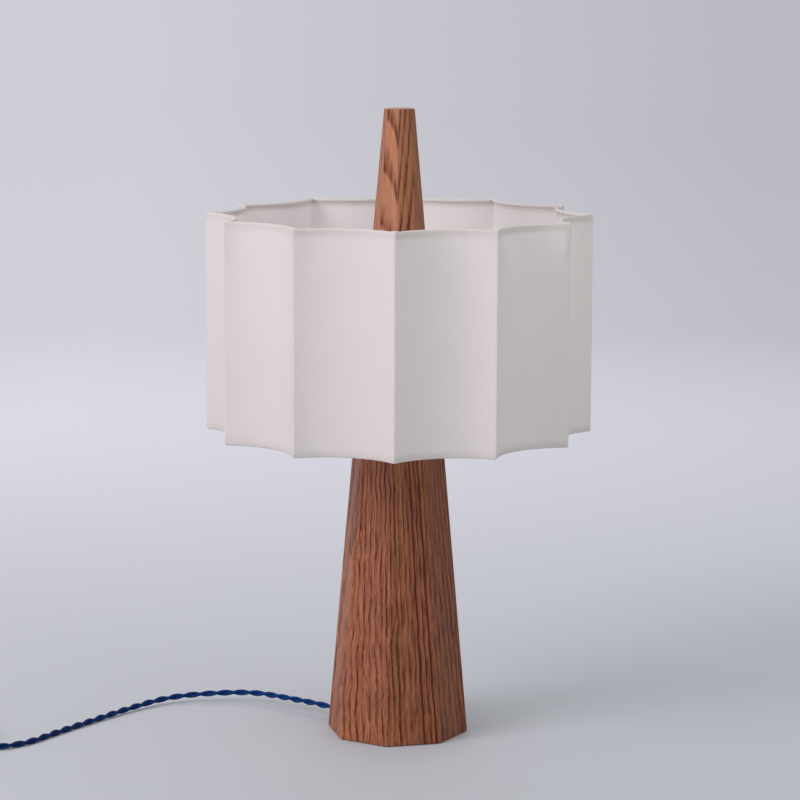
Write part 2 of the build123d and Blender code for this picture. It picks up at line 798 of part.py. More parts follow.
def make_parts():
    parts = {
        "column": make_column(),
        "felt_pad": make_felt_pad(),
        "lamp_pipe": make_lamp_pipe(),
        "base_washer": make_base_washer(),
        "base_nut": make_base_nut(),
        "cord_bushing": make_cord_bushing(),
        "inner_cord": make_inner_cord(),
        "check_ring": make_check_ring(),
        "harp_saddle": make_harp_saddle(),
        "socket_cap": make_socket_cap(),
        "cap_set_screw": make_set_screw(),
        "socket_shell": make_socket_shell(),
        "socket_sleeve": make_socket_sleeve(),
        "switch_body": make_switch_body(),
        "terminal_screws": make_terminal_screws(),
        "screw_shell": make_screw_shell(),
        "centre_contact": make_centre_contact(),
        "knob_shaft": make_knob_shaft(),
        "switch_knob": make_switch_knob(),
        "bulb_glass": make_bulb_glass(),
        "bulb_cap": make_bulb_cap(),
        "bulb_tip": make_bulb_tip(),
        "harp": make_harp(),
        "ferrule_right": make_ferrule(1),
        "ferrule_left": make_ferrule(-1),
        "harp_stud": make_harp_stud(),
        "spider_hub": make_hub(),
        "top_ring": make_ring(top_ring_height),
        "bottom_ring": make_ring(bottom_ring_height),
        "shade_cover": make_cover(),
        "finial": make_finial(),
        "finial_insert": make_finial_insert(),
    }
    for number, i in enumerate(arm_cusps, 1):
        parts[f"spider_arm_{number}"] = make_arm(i)

    run = run_path()
    turns = coil_turns()
    coil = Wire(turns)
    tail = tail_path(coil @ 1)
    place = plug_place(coil @ 1)
    parts["cord_run"] = tube(run, cord_radius)
    parts["cord_coil"] = tube(coil, cord_radius)
    parts["cord_tail"] = tube(tail, cord_radius)
    parts["cord_tie"] = make_cord_tie()
    parts["plug_body"] = make_plug_body(place)
    parts["plug_blades"] = make_plug_blades(place)

    for name, path in (("cord_run", run), ("cord_coil", coil), ("cord_tail", tail)):
        share = parts[name].volume / (math.pi * cord_radius**2 * path.length)
        print(name, "length", round(path.length, 1), "volume over section times length", round(share, 4))
    print("free cord", round(run.length + coil.length + tail.length, 1))
    print("least gap between the coil's turns", round(least_gap(coil), 2))
    print("total height", finial_bottom + finial_height)
    return parts


os.makedirs("parts", exist_ok=True)
for name, solid in make_parts().items():
    export_step(solid, f"parts/{name}.step")
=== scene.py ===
import json
import math

import bpy
from mathutils import Matrix, Vector


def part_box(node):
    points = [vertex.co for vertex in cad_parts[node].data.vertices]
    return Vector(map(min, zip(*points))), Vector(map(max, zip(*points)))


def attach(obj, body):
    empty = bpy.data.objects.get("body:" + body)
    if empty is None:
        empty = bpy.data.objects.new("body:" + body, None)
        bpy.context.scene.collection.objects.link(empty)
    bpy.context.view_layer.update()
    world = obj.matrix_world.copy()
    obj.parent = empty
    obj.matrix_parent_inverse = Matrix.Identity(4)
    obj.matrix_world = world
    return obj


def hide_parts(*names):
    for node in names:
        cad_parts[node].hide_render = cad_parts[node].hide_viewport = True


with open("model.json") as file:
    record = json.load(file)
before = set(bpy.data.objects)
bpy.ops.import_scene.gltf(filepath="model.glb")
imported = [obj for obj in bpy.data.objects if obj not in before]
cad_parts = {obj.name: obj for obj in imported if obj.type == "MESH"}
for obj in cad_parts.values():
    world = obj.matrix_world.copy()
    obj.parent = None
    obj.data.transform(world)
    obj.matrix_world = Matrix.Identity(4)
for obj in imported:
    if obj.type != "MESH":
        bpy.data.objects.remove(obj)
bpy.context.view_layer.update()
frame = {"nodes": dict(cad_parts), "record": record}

# Table lamp with an eight-sided wooden column and finial and a fluted cloth shade.
# Metres, +Z up, -Y the front.
mm = 0.001

# Camera, as fitted to the photograph
camera_place = Vector((1.5, -2906, 802)) * mm
camera_pitch = math.radians(9.0)
camera_roll = math.radians(0.19)
camera_focal_pixels = 2916
frame_pixels = 800
sensor_width = 36.0

# Cord
cord_diameter = 6.4 * mm
strand_radius = 1.6 * mm
strand_lay = 35.0 * mm  # along the pair, for one full turn of a strand
strand_sides = 12
strand_step = 1.8 * mm
exit_lead = 24.0 * mm
route = [
    (-110.0, 72.0, 11.8),
    (-152.0, 105.0, 10.6),
    (-198.0, 106.0, 9.0),
    (-244.0, 98.0, 6.6),
    (-284.0, 57.0, 4.3),
    (-314.0, 17.0, 3.3),
    (-345.0, -27.0, 3.2),
    (-376.0, -77.0, 3.2),
    (-421.0, -95.0, 4.4),
]
coil_front = Vector((-458.0, -95.0, 4.4)) * mm
coil_aside = 5.0 * mm  # further left than its solid, so that no shadow of the coil is seen
coil_radius = 46.5 * mm
coil_spacing = 7.0 * mm
lower_half_turns = 5
upper_half_turns = 4
points_each_half_turn = 8
tail_lead = 30.0 * mm
tail_swing = 38.0 * mm
plug_height = 12.0 * mm

# The cord's place and way where it leaves the bushing's flange
cord_exit = Vector((-57.8, 34.4, 10.6)) * mm
exit_way = Vector((-0.8563, 0.5104, 0.0809)).normalized()

# Shade cover, rolled over the frame's two fluted wires
cusp_count = 12
cusp_turn = math.radians(-1.2)  # from +X to a cusp
ring_corner = 191.8 * mm  # from the lamp's axis to a wire's corner at a cusp
flute_depth = 18.0 * mm
cloth_middle = 1.4 * mm  # from a wire's centre to the middle of the cloth round it
cloth_thickness = 0.6 * mm
tuck_drop = 0.9 * mm  # from under the wire to where the turned edge meets the wall
tuck_length = 3.2 * mm
ear_height = 1.4 * mm  # how far the rim rises at a cusp
ear_reach = 7.0 * mm
weld_gap = 0.02 * mm  # points nearer to each other than this become one


def linear(hex_colour):
    """An sRGB colour such as "c08040" as linear RGBA."""
    parts = [int(hex_colour[i:i + 2], 16) / 255 for i in (0, 2, 4)]
    return (*[c / 12.92 if c <= 0.04045 else ((c + 0.055) / 1.055) ** 2.4 for c in parts], 1.0)


def add(material, kind, sockets=None, **settings):
    """Adds a node. A socket, by name or number, takes a value or another node's output."""
    node = material.node_tree.nodes.new(kind)
    for name, value in settings.items():
        setattr(node, name, value)
    for name, value in (sockets or {}).items():
        if isinstance(value, bpy.types.NodeSocket):
            material.node_tree.links.new(value, node.inputs[name])
        else:
            node.inputs[name].default_value = value
    return node


def blank_material(name):
    material = bpy.data.materials.new(name)
    material.use_nodes = True
    material.node_tree.nodes.clear()
    return material


def finish_material(material, sockets):
    """The surface shader and its output."""
    shader = add(material, "ShaderNodeBsdfPrincipled", sockets)
    add(material, "ShaderNodeOutputMaterial", {"Surface": shader.outputs[0]})
    return material


def paint(node_name, material):
    """Gives a CAD node its finish."""
    slots = frame["nodes"][node_name].data.materials
    slots.clear()
    slots.append(material)


# Camera, room and light


def make_camera():
    forward = Vector((0, math.cos(camera_pitch), -math.sin(camera_pitch)))
    right = Vector((1, 0, 0))
    up = right.cross(forward)
    rolled_right = right * math.cos(camera_roll) + up * math.sin(camera_roll)
    rolled_up = up * math.cos(camera_roll) - right * math.sin(camera_roll)
    turn = Matrix((rolled_right, rolled_up, -forward)).transposed().to_4x4()
    data = bpy.data.cameras.new("camera")
    data.sensor_width = sensor_width
    data.sensor_fit = "HORIZONTAL"
    data.lens = camera_focal_pixels / frame_pixels * sensor_width
    camera = bpy.data.objects.new("camera", data)
    camera.matrix_world = Matrix.Translation(camera_place) @ turn
    bpy.context.scene.collection.objects.link(camera)
    bpy.context.scene.camera = camera


def make_area_light(name, place, target, size, power, colour):
    data = bpy.data.lights.new(name, "AREA")
    data.shape = "RECTANGLE"
    data.size, data.size_y = size
    data.energy = power
    data.color = linear(colour)[:3]
    light = bpy.data.objects.new(name, data)
    aim = (Vector(target) - Vector(place)).to_track_quat("-Z", "Y")
    light.matrix_world = Matrix.Translation(Vector(place)) @ aim.to_matrix().to_4x4()
    bpy.context.scene.collection.objects.link(light)


def pale_painted_room():
    """Matt pale paint, with painted light: it shows lighter to the camera away from the lamp and more at the
    left, without lighting anything.
    """
    material = blank_material("pale_painted_room")
    place = add(material, "ShaderNodeTexCoord")
    apart = add(material, "ShaderNodeSeparateXYZ", {0: place.outputs["Object"]})
    away = add(
        material,
        "ShaderNodeMapRange",
        {"Value": apart.outputs["Y"], "From Min": -0.3, "From Max": 2.1, "To Min": 0.0, "To Max": 1.0},
        interpolation_type="SMOOTHSTEP",
    )
    # Painted light: the glow is stronger at the left, the window's side, and weaker towards +X
    across = add(
        material,
        "ShaderNodeMapRange",
        {"Value": apart.outputs["X"], "From Min": -0.6, "From Max": 0.8, "To Min": 0.29, "To Max": 0.16},
    )
    glow = add(material, "ShaderNodeMath", {0: away.outputs[0], 1: across.outputs[0]}, operation="MULTIPLY")
    ray = add(material, "ShaderNodeLightPath")
    seen = ray.outputs["Is Camera Ray"]
    for kind in ("Is Glossy Ray", "Is Transmission Ray"):
        either = add(material, "ShaderNodeMath", {0: seen, 1: ray.outputs[kind]}, operation="MAXIMUM")
        seen = either.outputs[0]
    shown = add(material, "ShaderNodeMath", {0: glow.outputs[0], 1: seen}, operation="MULTIPLY")
    return finish_material(
        material,
        {
            "Base Color": linear("c5cad1"),
            "Roughness": 0.9,
            "Emission Color": linear("faeefc"),
            "Emission Strength": shown.outputs[0],
        },
    )


def make_room():
    """A pale sweep: a floor that curves up into a backdrop."""
    bpy.ops.object.select_all(action="DESELECT")
    bpy.ops.mesh.primitive_plane_add(size=1)
    floor = bpy.context.object
    floor.name = "floor_sweep"
    mesh = floor.data
    front_edge = -5.0
    half_width = 6.0
    bend_start = 3.0
    bend_radius = 1.2
    bend_steps = 24
    wall_top = 5.0
    profile = [(front_edge, 0.0)]
    for i in range(bend_steps + 1):
        angle = math.pi / 2 * i / bend_steps
        back = bend_start + bend_radius * math.sin(angle)
        profile.append((back, bend_radius - bend_radius * math.cos(angle)))
    profile.append((bend_start + bend_radius, wall_top))
    verts = [(side * half_width, y, z) for y, z in profile for side in (-1, 1)]
    faces = [(2 * i, 2 * i + 1, 2 * i + 3, 2 * i + 2) for i in range(len(profile) - 1)]
    mesh.clear_geometry()
    mesh.from_pydata(verts, [], faces)
    for face in mesh.polygons:
        face.use_smooth = True
    mesh.materials.append(pale_painted_room())


def make_world():
    world = bpy.data.worlds.new("soft_room")
    bpy.context.scene.world = world
    world.use_nodes = True
    background = world.node_tree.nodes["Background"]
    background.inputs["Color"].default_value = linear("ecedea")
    background.inputs["Strength"].default_value = 0.62


# Finishes


def grained(
    name, colour, roughness, metallic=0.0, grain=0.4, depth=0.02, mottle=0.06, stretch=(1, 1, 1), more=None
):
    """A finish with a fine grain and soft clouds of tone, lighter and darker by the mottle.

    The grain's width and depth are in millimetres, and it is stretched this many times along X, Y and Z.
    More holds further values for the surface shader.
    """
    material = blank_material(name)
    place = add(material, "ShaderNodeTexCoord")
    laid = add(
        material,
        "ShaderNodeMapping",
        {"Vector": place.outputs["Object"], "Scale": tuple(1000 / grain / s for s in stretch)},
    )
    fine = add(material, "ShaderNodeTexNoise", {"Vector": laid.outputs[0], "Scale": 1.0, "Detail": 2.0})
    cloud = add(material, "ShaderNodeTexNoise", {"Vector": laid.outputs[0], "Scale": 0.06, "Detail": 3.0})
    relief = add(
        material,
        "ShaderNodeBump",
        {"Height": fine.outputs[0], "Distance": depth * mm, "Strength": 1.0},
    )
    gloss = add(
        material,
        "ShaderNodeMapRange",
        {"Value": cloud.outputs[0], "To Min": roughness * 0.8, "To Max": roughness * 1.2},
    )
    shades = [tuple(c * (1 + side * mottle) for c in linear(colour)[:3]) + (1.0,) for side in (-1, 1)]
    tone = add(material, "ShaderNodeMix", {0: cloud.outputs[0], 6: shades[0], 7: shades[1]}, data_type="RGBA")
    sockets = {
        "Base Color": tone.outputs[2],
        "Metallic": metallic,
        "Roughness": gloss.outputs[0],
        "Normal": relief.outputs[0],
    }
    sockets.update(more or {})
    return finish_material(material, sockets)


def threaded(name, colour, roughness, pitch, depth):
    """Metal with a screw thread round the lamp's axis. Its pitch and depth are in millimetres."""
    material = blank_material(name)
    place = add(material, "ShaderNodeTexCoord")
    apart = add(material, "ShaderNodeSeparateXYZ", {0: place.outputs["Object"]})
    round_axis = add(
        material,
        "ShaderNodeMath",
        {0: apart.outputs["Y"], 1: apart.outputs["X"]},
        operation="ARCTAN2",
    )
    climb = add(
        material,
        "ShaderNodeMath",
        {0: apart.outputs["Z"], 1: 2 * math.pi / (pitch * mm), 2: round_axis.outputs[0]},
        operation="MULTIPLY_ADD",
    )
    thread = add(material, "ShaderNodeMath", {0: climb.outputs[0]}, operation="SINE")
    relief = add(
        material,
        "ShaderNodeBump",
        {"Height": thread.outputs[0], "Distance": depth / 2 * mm, "Strength": 1.0},
    )
    wear = add(
        material,
        "ShaderNodeTexNoise",
        {"Vector": place.outputs["Object"], "Scale": 400.0, "Detail": 3.0},
    )
    gloss = add(
        material,
        "ShaderNodeMapRange",
        {"Value": wear.outputs[0], "To Min": roughness * 0.7, "To Max": roughness * 1.3},
    )
    return finish_material(
        material,
        {
            "Base Color": linear(colour),
            "Metallic": 1.0,
            "Roughness": gloss.outputs[0],
            "Normal": relief.outputs[0],
        },
    )


def oiled_hardwood(
    name, grounds, dark, apex, middle, pith, lean, ring, wander, calm, strength, streaks, painted_shade_side, marked=()
):
    """Open-pored reddish-brown hardwood, planed and oiled: satin, with dark growth lines and fine pores.

    Lengths are in millimetres. The figure fans out with the taper, whose sides meet at the apex, and has its
    true width at the middle's height. The rings run round the pith, which stands at this place at height 0
    and leans this much sideways for each length up. Between the two calm places on X they come to wander
    less and grow fainter. Marked rings are darker, at these distances from the pith. Between two places on X
    the wood darkens towards +X, by this share: painted shade on the side away from the window light.
    """
    material = blank_material(name)
    place = add(material, "ShaderNodeTexCoord").outputs["Object"]
    height = add(material, "ShaderNodeSeparateXYZ", {0: place}).outputs["Z"]
    below_apex = add(material, "ShaderNodeMath", {0: apex * mm, 1: height}, operation="SUBTRACT")
    spread = add(
        material,
        "ShaderNodeMath",
        {0: (apex - middle) * mm, 1: below_apex.outputs[0]},
        operation="DIVIDE",
    )
    fan = add(material, "ShaderNodeCombineXYZ", {"X": spread.outputs[0], "Y": spread.outputs[0], "Z": 1.0})
    fanned = add(material, "ShaderNodeVectorMath", {0: place, 1: fan.outputs[0]}, operation="MULTIPLY")

    # The figure wanders in waves. Their noise strays a quarter to each side, so four times gives the wander
    wave_size = (22, 22, 25)
    waves_at = add(
        material,
        "ShaderNodeMapping",
        {"Vector": fanned.outputs[0], "Scale": tuple(1000 / size for size in wave_size)},
    )
    waves = add(material, "ShaderNodeTexNoise", {"Vector": waves_at.outputs[0], "Scale": 1.0, "Detail": 2.0})
    level = add(
        material,
        "ShaderNodeVectorMath",
        {0: waves.outputs["Color"], 1: (0.5, 0.5, 0.5)},
        operation="SUBTRACT",
    )
    across = add(material, "ShaderNodeSeparateXYZ", {0: fanned.outputs[0]}).outputs["X"]
    reach = add(
        material,
        "ShaderNodeMapRange",
        {
            "Value": across,
            "From Min": calm[0] * mm,
            "From Max": calm[1] * mm,
            "To Min": 4 * wander * mm,
            "To Max": 1.4 * wander * mm,
        },
    )
    sway = add(
        material,
        "ShaderNodeVectorMath",
        {0: level.outputs[0], "Scale": reach.outputs[0]},
        operation="SCALE",
    )
    bent = add(material, "ShaderNodeVectorMath", {0: fanned.outputs[0], 1: sway.outputs[0]}, operation="ADD")

    # Growth rings round the leaning pith. Each ends in a dark line, which fades over the start of the next
    pith_here = add(
        material,
        "ShaderNodeVectorMath",
        {0: height, 1: (*lean, 0.0), 2: (pith[0] * mm, pith[1] * mm, 0.0)},
        operation="MULTIPLY_ADD",
    )
    flattened = add(
        material,
        "ShaderNodeVectorMath",
        {0: bent.outputs[0], 1: (1, 1, 0)},
        operation="MULTIPLY",
    )
    from_pith = add(
        material,
        "ShaderNodeVectorMath",
        {0: flattened.outputs[0], 1: pith_here.outputs[0]},
        operation="DISTANCE",
    ).outputs["Value"]
    count = add(material, "ShaderNodeMath", {0: from_pith, 1: ring * mm}, operation="DIVIDE")
    number = add(material, "ShaderNodeMath", {0: count.outputs[0]}, operation="FLOOR")
    within = add(material, "ShaderNodeMath", {0: count.outputs[0]}, operation="FRACT")
    faded_at = 0.45  # of a ring's width
    darkens_from = 0.88
    early = add(
        material,
        "ShaderNodeMapRange",
        {"Value": within.outputs[0], "From Min": 0.0, "From Max": faded_at, "To Min": 1.0, "To Max": 0.0},
    )
    late = add(
        material,
        "ShaderNodeMapRange",
        {
            "Value": within.outputs[0],
            "From Min": darkens_from,
            "From Max": 1.0,
            "To Min": 0.0,
            "To Max": 1.0,
        },
    )
    line = add(material, "ShaderNodeMath", {0: early.outputs[0], 1: late.outputs[0]}, operation="MAXIMUM")
    chance = add(material, "ShaderNodeTexWhiteNoise", {"W": number.outputs[0]}, noise_dimensions="1D")
    heavy = add(
        material,
        "ShaderNodeMapRange",
        {"Value": chance.outputs["Value"], "To Min": strength[0], "To Max": strength[1]},
    )

    # Fibres, which also break the lines up
    fibre_size = (1.7, 1.7, 30)
    fibres_at = add(
        material,
        "ShaderNodeMapping",
        {"Vector": bent.outputs[0], "Scale": tuple(1000 / size for size in fibre_size)},
    )
    fibres = add(
        material,
        "ShaderNodeTexNoise",
        {"Vector": fibres_at.outputs[0], "Scale": 1.0, "Detail": 3.0},
    )
    broken = add(
        material,
        "ShaderNodeMapRange",
        {"Value": fibres.outputs["Fac"], "From Min": 0.35, "From Max": 0.62, "To Min": 0.6, "To Max": 1.15},
    )
    bold = add(
        material,
        "ShaderNodeMapRange",
        {
            "Value": across,
            "From Min": calm[0] * mm,
            "From Max": calm[1] * mm,
            "To Min": 1.25,
            "To Max": 0.75,
        },
    )
    lines = bold.outputs[0]
    for factor in (heavy, broken, line):
        product = add(material, "ShaderNodeMath", {0: lines, 1: factor.outputs[0]}, operation="MULTIPLY")
        lines = product.outputs[0]
    core_reach = 0.2  # to each side of a mark
    band_reach = 1.3
    for distance in marked:
        beside = add(material, "ShaderNodeMath", {0: from_pith, 1: distance * mm}, operation="SUBTRACT")
        gap = add(material, "ShaderNodeMath", {0: beside.outputs[0]}, operation="ABSOLUTE")
        band = add(
            material,
            "ShaderNodeMapRange",
            {
                "Value": gap.outputs[0],
                "From Min": core_reach * mm,
                "From Max": band_reach * mm,
                "To Min": 1.25,
                "To Max": 0.0,
            },
        )
        darker = add(material, "ShaderNodeMath", {0: lines, 1: band.outputs[0]}, operation="MAXIMUM")
        lines = darker.outputs[0]

    # Open pores. Real ones are 0.3 mm wide, and these are wider so that they show
    pore_size = (0.6, 0.6, 9)
    pores_at = add(
        material,
        "ShaderNodeMapping",
        {"Vector": bent.outputs[0], "Scale": tuple(1000 / size for size in pore_size)},
    )
    pores = add(material, "ShaderNodeTexNoise", {"Vector": pores_at.outputs[0], "Scale": 1.0, "Detail": 1.0})
    open_pores = add(
        material,
        "ShaderNodeMapRange",
        {"Value": pores.outputs["Fac"], "From Min": 0.56, "From Max": 0.7, "To Min": 0.0, "To Max": 1.0},
    )
    crowd = add(material, "ShaderNodeMath", {0: lines, 1: 0.3}, operation="ADD")
    flecks = add(
        material,
        "ShaderNodeMath",
        {0: open_pores.outputs[0], 1: crowd.outputs[0]},
        operation="MULTIPLY",
    )

    # A ground that drifts between pinkish and orange brown, darkened by the lines, fibres and pores
    drift_size = (16, 16, 110)
    drift_at = add(
        material,
        "ShaderNodeMapping",
        {"Vector": fanned.outputs[0], "Scale": tuple(1000 / size for size in drift_size)},
    )
    drift = add(material, "ShaderNodeTexNoise", {"Vector": drift_at.outputs[0], "Scale": 1.0, "Detail": 2.0})
    drifted = add(
        material,
        "ShaderNodeMapRange",
        {"Value": drift.outputs["Fac"], "From Min": 0.36, "From Max": 0.64},
    )
    ground = add(
        material,
        "ShaderNodeMix",
        {0: drifted.outputs[0], 6: linear(grounds[0]), 7: linear(grounds[1])},
        data_type="RGBA",
    )
    streak = add(
        material,
        "ShaderNodeMapRange",
        {
            "Value": fibres.outputs["Fac"],
            "From Min": 0.35,
            "From Max": 0.65,
            "To Min": 0.0,
            "To Max": streaks,
        },
    )
    # Painted shade: towards +X, the side away from the window light, the wood's colour is darkened
    lit_side_share = -0.05  # the left end of the painted shade is a little lighter than the ground
    painted_shade = add(
        material,
        "ShaderNodeMapRange",
        {
            "Value": across,
            "From Min": painted_shade_side[0] * mm,
            "From Max": painted_shade_side[1] * mm,
            "To Min": lit_side_share,
            "To Max": painted_shade_side[2],
        },
    )
    between = add(material, "ShaderNodeMath", {0: streak.outputs[0], 1: painted_shade.outputs[0]}, operation="ADD")
    darkened = add(
        material,
        "ShaderNodeMath",
        {0: lines, 1: 0.8, 2: between.outputs[0]},
        operation="MULTIPLY_ADD",
    )
    share = add(
        material,
        "ShaderNodeMath",
        {0: flecks.outputs[0], 1: 0.4, 2: darkened.outputs[0]},
        operation="MULTIPLY_ADD",
        use_clamp=True,
    )
    colour = add(
        material,
        "ShaderNodeMix",
        {0: share.outputs[0], 6: ground.outputs[2], 7: linear(dark)},
        data_type="RGBA",
    )
    surface = add(
        material,
        "ShaderNodeMath",
        {0: flecks.outputs[0], 1: -1.0, 2: fibres.outputs["Fac"]},
        operation="MULTIPLY_ADD",
    )
    relief = add(
        material,
        "ShaderNodeBump",
        {"Height": surface.outputs[0], "Distance": 0.12 * mm, "Strength": 0.8},
    )
    gloss = add(material, "ShaderNodeMapRange", {"Value": flecks.outputs[0], "To Min": 0.48, "To Max": 0.75})
    return finish_material(
        material,
        {
            "Base Color": colour.outputs[2],
            "Roughness": gloss.outputs[0],
            "Specular IOR Level": 0.22,
            "Normal": relief.outputs[0],
        },
    )


def wool_felt():
    """Pressed wool: dull, with crossed hairs a little lighter than the mat."""
    material = blank_material("pressed_wool_felt")
    place = add(material, "ShaderNodeTexCoord")
    hairs_at = add(
        material,
        "ShaderNodeMapping",
        {"Vector": place.outputs["Object"], "Scale": (450, 1600, 1600)},
    )
    hairs = add(
        material,
        "ShaderNodeTexNoise",
        {"Vector": hairs_at.outputs[0], "Scale": 1.0, "Detail": 4.0, "Distortion": 1.5},
    )
    tone = add(
        material,
        "ShaderNodeMix",
        {0: hairs.outputs["Fac"], 6: linear("1e1e1d"), 7: linear("3a3a37")},
        data_type="RGBA",
    )
    relief = add(
        material,
        "ShaderNodeBump",
        {"Height": hairs.outputs["Fac"], "Distance": 0.3 * mm, "Strength": 1.0},
    )
    return finish_material(
        material,
        {
            "Base Color": tone.outputs[2],
            "Roughness": 0.95,
            "Sheen Weight": 0.3,
            "Sheen Roughness": 0.5,
            "Normal": relief.outputs[0],
        },
    )


def drawn_cord_cover():
    """Soft blue plastic over each wire: matt, with fine lines along it, and darker away from the lamp."""
    material = blank_material("drawn_blue_cord_cover")
    laid = add(material, "ShaderNodeUVMap", uv_map="along_and_round")
    apart = add(material, "ShaderNodeSeparateXYZ", {0: laid.outputs[0]})
    far = add(
        material,
        "ShaderNodeMapRange",
        {"Value": apart.outputs["X"], "From Min": 60.0, "From Max": 400.0, "To Min": 0.0, "To Max": 1.0},
        interpolation_type="SMOOTHSTEP",
    )
    tone = add(
        material,
        "ShaderNodeMix",
        {0: far.outputs[0], 6: linear("003676"), 7: linear("00265a")},
        data_type="RGBA",
    )
    lines_at = add(material, "ShaderNodeMapping", {"Vector": laid.outputs[0], "Scale": (1 / 9, 26, 1)})
    lines = add(material, "ShaderNodeTexNoise", {"Vector": lines_at.outputs[0], "Scale": 1.0, "Detail": 3.0})
    rubbed = add(
        material,
        "ShaderNodeMapRange",
        {"Value": lines.outputs["Fac"], "From Min": 0.3, "From Max": 0.7, "To Min": 0.84, "To Max": 1.14},
    )
    colour = add(
        material,
        "ShaderNodeVectorMath",
        {0: tone.outputs[2], "Scale": rubbed.outputs[0]},
        operation="SCALE",
    )
    relief = add(
        material,
        "ShaderNodeBump",
        {"Height": lines.outputs["Fac"], "Distance": 0.08 * mm, "Strength": 0.8},
    )
    return finish_material(
        material,
        {
            "Base Color": colour.outputs[0],
            "Roughness": 0.66,
            "Specular IOR Level": 0.15,
            "Normal": relief.outputs[0],
        },
    )


def stiff_backed_cloth():
    """Off-white cloth on a thin stiff backing: matt, with uneven threads, and it lets some light through.

    Real threads are 0.4 mm apart. They are drawn 0.8 mm apart, or the view would lose them.
    """
    material = blank_material("stiff_backed_cloth")
    laid = add(material, "ShaderNodeUVMap", uv_map="cloth_mm")
    warp_at = add(material, "ShaderNodeMapping", {"Vector": laid.outputs[0], "Scale": (1 / 0.8, 1 / 22, 1)})
    warp = add(material, "ShaderNodeTexNoise", {"Vector": warp_at.outputs[0], "Scale": 1.0, "Detail": 2.0})
    weft_at = add(material, "ShaderNodeMapping", {"Vector": laid.outputs[0], "Scale": (1 / 22, 1 / 0.8, 1)})
    weft = add(material, "ShaderNodeTexNoise", {"Vector": weft_at.outputs[0], "Scale": 1.0, "Detail": 2.0})
    threads = add(
        material,
        "ShaderNodeMath",
        {0: warp.outputs["Fac"], 1: weft.outputs["Fac"]},
        operation="ADD",
    )
    uneven = add(
        material,
        "ShaderNodeTexNoise",
        {"Vector": laid.outputs[0], "Scale": 1 / 60, "Detail": 3.0},
    )
    both = add(
        material,
        "ShaderNodeMath",
        {0: uneven.outputs["Fac"], 1: 0.8, 2: threads.outputs[0]},
        operation="MULTIPLY_ADD",
    )
    shade = add(
        material,
        "ShaderNodeMapRange",
        {"Value": both.outputs[0], "From Min": 1.0, "From Max": 1.8, "To Min": 0.0, "To Max": 1.0},
    )
    tone = add(
        material,
        "ShaderNodeMix",
        {0: shade.outputs[0], 6: linear("f8f4f2"), 7: linear("fbf8f6")},
        data_type="RGBA",
    )
    relief = add(
        material,
        "ShaderNodeBump",
        {"Height": threads.outputs[0], "Distance": 0.05 * mm, "Strength": 0.6},
    )
    face = add(
        material,
        "ShaderNodeBsdfPrincipled",
        {
            "Base Color": tone.outputs[2],
            "Roughness": 0.92,
            "Specular IOR Level": 0.25,
            "Sheen Weight": 0.05,
            "Normal": relief.outputs[0],
        },
    )
    through = add(material, "ShaderNodeBsdfTranslucent", {"Color": linear("faf7f7")})
    mixed = add(material, "ShaderNodeMixShader", {0: 0.5, 1: face.outputs[0], 2: through.outputs[0]})
    add(material, "ShaderNodeOutputMaterial", {"Surface": mixed.outputs[0]})
    return material


# Cord


def half_turn_points(start, radius, outward, rise):
    """Control points of a half turn, after its start. Order-3 points lie a little outside their curve."""
    reach = 0.75 + 0.25 * math.cos(math.pi / points_each_half_turn)
    middle = start + Vector((0, outward * radius, 0))
    points = []
    for i in range(1, points_each_half_turn + 1):
        angle = math.pi * i / points_each_half_turn
        wide = radius / reach
        x = -outward * wide * math.sin(angle)
        y = -outward * wide * math.cos(angle)
        points.append(middle + Vector((x, y, rise * i / points_each_half_turn)))
    return points


def cord_points():
    """The cord's control points from the bushing to the plug, with the coil's turns worked out."""
    points = [cord_exit, cord_exit + exit_way * exit_lead]
    points += [Vector(p) * mm for p in route]
    start = coil_front - Vector((coil_aside, 0, 0))
    points += [start + Vector((cord_diameter, 0, 0)), start]
    radius = coil_radius
    for i in range(lower_half_turns + 1 + upper_half_turns):
        outward = 1 if i % 2 == 0 else -1
        rise = coil_spacing if i == lower_half_turns else 0.0
        points += half_turn_points(start, radius, outward, rise)
        start = start + Vector((0, outward * 2 * radius, rise))
        radius += -coil_spacing / 2 if i < lower_half_turns else coil_spacing / 2
    coil_end = start
    plug_x = coil_end.x + coil_aside - cord_diameter - tail_lead - tail_swing
    plug_y = coil_end.y + tail_swing + tail_lead
    points += [
        coil_end + Vector((-cord_diameter, 0, 0)),
        coil_end + Vector((-cord_diameter - tail_lead, 0, 0)),
        Vector((plug_x, plug_y - tail_lead, plug_height)),
        Vector((plug_x, plug_y, plug_height)),
    ]
    return points


def spline_line(points):
    """Points read along the NURBS spline of these control points."""
    curve = bpy.data.curves.new("cord_line", "CURVE")
    curve.dimensions = "3D"
    spline = curve.splines.new("NURBS")
    spline.points.add(len(points) - 1)
    for spot, point in zip(spline.points, points):
        spot.co = (*point, 1.0)
    spline.order_u = 3
    spline.use_endpoint_u = True
    spline.resolution_u = 16
    holder = bpy.data.objects.new("cord_line", curve)
    bpy.context.scene.collection.objects.link(holder)
    mesh = bpy.data.meshes.new_from_object(holder)
    line = [v.co.copy() for v in mesh.vertices]
    bpy.data.objects.remove(holder)
    bpy.data.curves.remove(curve)
    bpy.data.meshes.remove(mesh)
    return line


def line_length(line):
    return sum((b - a).length for a, b in zip(line, line[1:]))


def evenly(line, step):
    """The same line as points a fixed step apart."""
    total = line_length(line)
    count = round(total / step)
    gap = total / count
    result = [line[0].copy()]
    travelled = 0.0
    for a, b in zip(line, line[1:]):
        length = (b - a).length
        while len(result) < count and gap * len(result) <= travelled + length:
            share = (gap * len(result) - travelled) / length
            result.append(a.lerp(b, share))
        travelled += length
    result.append(line[-1].copy())
    return result


